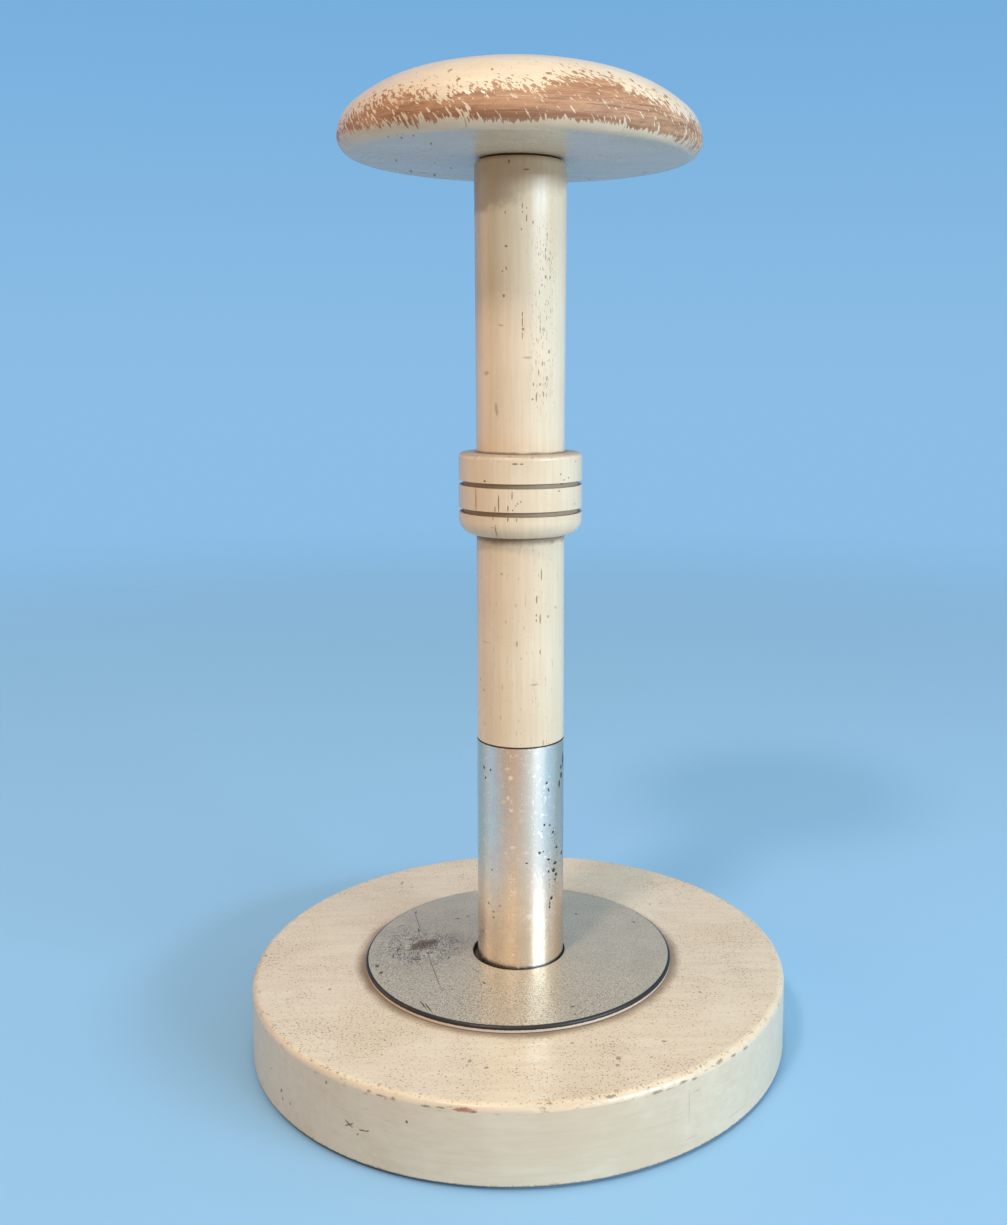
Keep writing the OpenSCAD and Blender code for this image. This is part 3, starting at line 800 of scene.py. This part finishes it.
# %% [markdown]
# ## The pieces that hide
# A thin fibre washer shows as a black line under the head. The stud and the screw are zinc-plated steel, the
# insert is brass, and the pad underneath is felt. They are seen only when the head is unscrewed or the stand
# is turned over, but they get real finishes too: zinc has crystals of two greys, and felt has short fibres.

# %% Hardware, fibre and felt


def plain_finish(name, recipe_for):
    """recipe_for(recipe, turned) returns the inputs of the Principled shader and a relief in mm."""
    material = bpy.data.materials.new(name)
    recipe = Recipe(material)
    inputs, relief = recipe_for(recipe, Turned(recipe))
    inputs["Normal"] = recipe.node("ShaderNodeBump", inputs={"Distance": MM, "Height": relief})
    shader = recipe.node("ShaderNodeBsdfPrincipled", inputs=inputs)
    recipe.node("ShaderNodeOutputMaterial", inputs={"Surface": shader})
    return material


def zinc(recipe, turned):
    cells = {"Vector": turned.point, "Scale": 0.8}
    crystal = recipe.node("ShaderNodeTexVoronoi", inputs=cells, output="Color")
    wear = recipe.noise(turned.point, 1.2, 4)
    grey = recipe.mix(0.15, recipe.mix(wear, (0.50, 0.51, 0.53), (0.66, 0.67, 0.68)), crystal, "SOFT_LIGHT")
    return {"Base Color": grey, "Metallic": 1.0, "Roughness": 0.26 + wear * 0.2}, wear * 0.02


def brass(recipe, turned):
    wear = recipe.noise(turned.point, 0.9, 4)
    yellow = recipe.mix(wear, (0.72, 0.50, 0.22), (0.52, 0.34, 0.15))
    return {"Base Color": yellow, "Metallic": 1.0, "Roughness": 0.24 + wear * 0.2}, wear * 0.02


def fibre(recipe, turned):
    threads = recipe.noise(turned.point, 3, 3, 0.7)
    black = recipe.mix(threads, (0.018, 0.015, 0.013), (0.045, 0.036, 0.030))
    return {"Base Color": black, "Roughness": 0.62 + threads * 0.2}, threads * 0.04


def felt(recipe, turned):
    matted = recipe.noise(turned.point, 1.8, 5, 0.75, 1.5)
    green = recipe.mix(matted, (0.018, 0.030, 0.022), (0.060, 0.085, 0.062))
    return {"Base Color": green, "Roughness": 0.95, "Sheen Weight": 0.5}, matted * 0.35


FINISHES = {
    "head_washer": fibre, "head_insert": brass, "head_stud": zinc,
    "base_screw": zinc, "base_screw_washer": zinc, "felt_pad": felt,
}
for piece, finish in FINISHES.items():
    finish_node(piece, plain_finish(finish.__name__ + "_" + piece, finish))

# %% [markdown]
# ## The floor
# A plain pale floor with some blue in it keeps the cream warm by contrast and puts a cool sheen under the
# head. It could simply be huge, but then it would show a horizon, so a mask of distance melts the far floor
# into the air. It also ends softly a little in front of the stand, which keeps its blue off the sleeve.

# %% Floor
FLOOR_R = 3.0
FLOOR_COLOUR = (0.31, 0.55, 0.80)
PAPER_FRONT, PAPER_EDGE_SOFT = -115, 130
FADE_FROM, FADE_TO = 350, 1500

bpy.ops.mesh.primitive_circle_add(vertices=128, radius=FLOOR_R, fill_type="NGON", location=(0, 0, 0))
floor = bpy.context.object
floor.name = "floor"
floor_material = bpy.data.materials.new("floor_paper")
recipe = Recipe(floor_material)
turned = Turned(recipe)
paper = recipe.node("ShaderNodeBsdfDiffuse", inputs={"Color": colour(FLOOR_COLOUR)})
clear = recipe.node("ShaderNodeBsdfTransparent")
far_off = recipe.smooth(turned.r, FADE_FROM, FADE_TO)
front_edge = recipe.smooth(turned.y, PAPER_FRONT, PAPER_FRONT - PAPER_EDGE_SOFT)
blend = recipe.node("ShaderNodeMixShader", inputs={0: recipe.most(far_off, front_edge), 1: paper, 2: clear})
recipe.node("ShaderNodeOutputMaterial", inputs={"Surface": blend})
floor.data.materials.append(floor_material)
print("floor fades from", FADE_FROM, "to", FADE_TO, "mm")

# %% [markdown]
# ## The air and the room
# The camera sees a smooth blue air, but shiny pieces should mirror a room. The Light Path node tells the two
# apart: camera rays get the air, and all other rays get a warm side, a cool side, a blue back and a ceiling.

# %% Air
AIR_LOW = (0.26, 0.51, 0.79)
AIR_HIGH = (0.16, 0.40, 0.70)
PAPER_BEHIND = (0.10, 0.30, 0.62)
ROOM_LEFT = (0.47, 0.30, 0.16)
ROOM_RIGHT = (0.71, 0.80, 0.83)
CEILING = (0.54, 0.58, 0.54)

world = bpy.data.worlds.new("air")
bpy.context.scene.world = world
recipe = Recipe(world)
direction = recipe.node("ShaderNodeTexCoord", output="Generated")
across, depth, rise = (
    recipe.node("ShaderNodeSeparateXYZ", inputs={"Vector": direction}, output=axis) for axis in "XYZ"
)
seen = recipe.mix(recipe.smooth(rise, -0.05, 0.40), AIR_LOW, AIR_HIGH)
room = recipe.mix(recipe.smooth(across, -0.5, 0.75), ROOM_LEFT, ROOM_RIGHT)
room = recipe.mix(recipe.smooth(depth, 0.62, 0.12), PAPER_BEHIND, room)
room = recipe.mix(recipe.smooth(rise, 0.45, 0.85), room, CEILING)
straight = recipe.node("ShaderNodeLightPath", output="Is Camera Ray")
background = recipe.node("ShaderNodeBackground", inputs={"Color": recipe.mix(straight, room, seen)})
recipe.node("ShaderNodeOutputWorld", inputs={"Surface": background})
print("air uses", len(recipe.tree.nodes), "nodes")

# %% [markdown]
# ## The lights
# A wide cool window low on the right and a small warm lamp high on the left shape the turned pieces. A weak
# warm wall on the left and a wide ceiling fill the shadows. Area lights are soft, which suits old lacquer.

# %% Lights
SUBJECT = Vector((0, 0, 0.22))


def soft_light(name, azimuth, elevation, distance, width, height, power, tint):
    """A rectangle of light that faces the stand; azimuth 0 is the front and grows to the right."""
    data = bpy.data.lights.new(name, "AREA")
    data.shape, data.size, data.size_y = "RECTANGLE", width, height
    data.energy, data.color = power, tint
    lamp = bpy.data.objects.new(name, data)
    turn, lift = math.radians(azimuth), math.radians(elevation)
    aim = Vector((math.sin(turn) * math.cos(lift), -math.cos(turn) * math.cos(lift), math.sin(lift)))
    lamp.location = SUBJECT + aim * distance
    lamp.rotation_euler = aim.to_track_quat("Z", "Y").to_euler()
    lamp.visible_camera = False
    bpy.context.scene.collection.objects.link(lamp)


soft_light("window_right", 50, 15, 1.5, 0.90, 0.16, 16, (0.66, 0.83, 1.0))
soft_light("lamp_left", -30, 50, 1.6, 0.2, 0.2, 8.8, (1.0, 0.76, 0.70))
soft_light("wall_left", -100, 12, 1.5, 0.8, 0.8, 2.5, (1.0, 0.84, 0.70))
soft_light("ceiling", -10, 82, 1.7, 1.3, 1.3, 6, (1.0, 0.93, 0.62))

# %% [markdown]
# ## Colour and the last look
# The Standard view transform shows the finishes as they were mixed, without a film curve on top.

# %% Colour
bpy.context.scene.view_settings.view_transform = "Standard"
print("view transform:", bpy.context.scene.view_settings.view_transform)
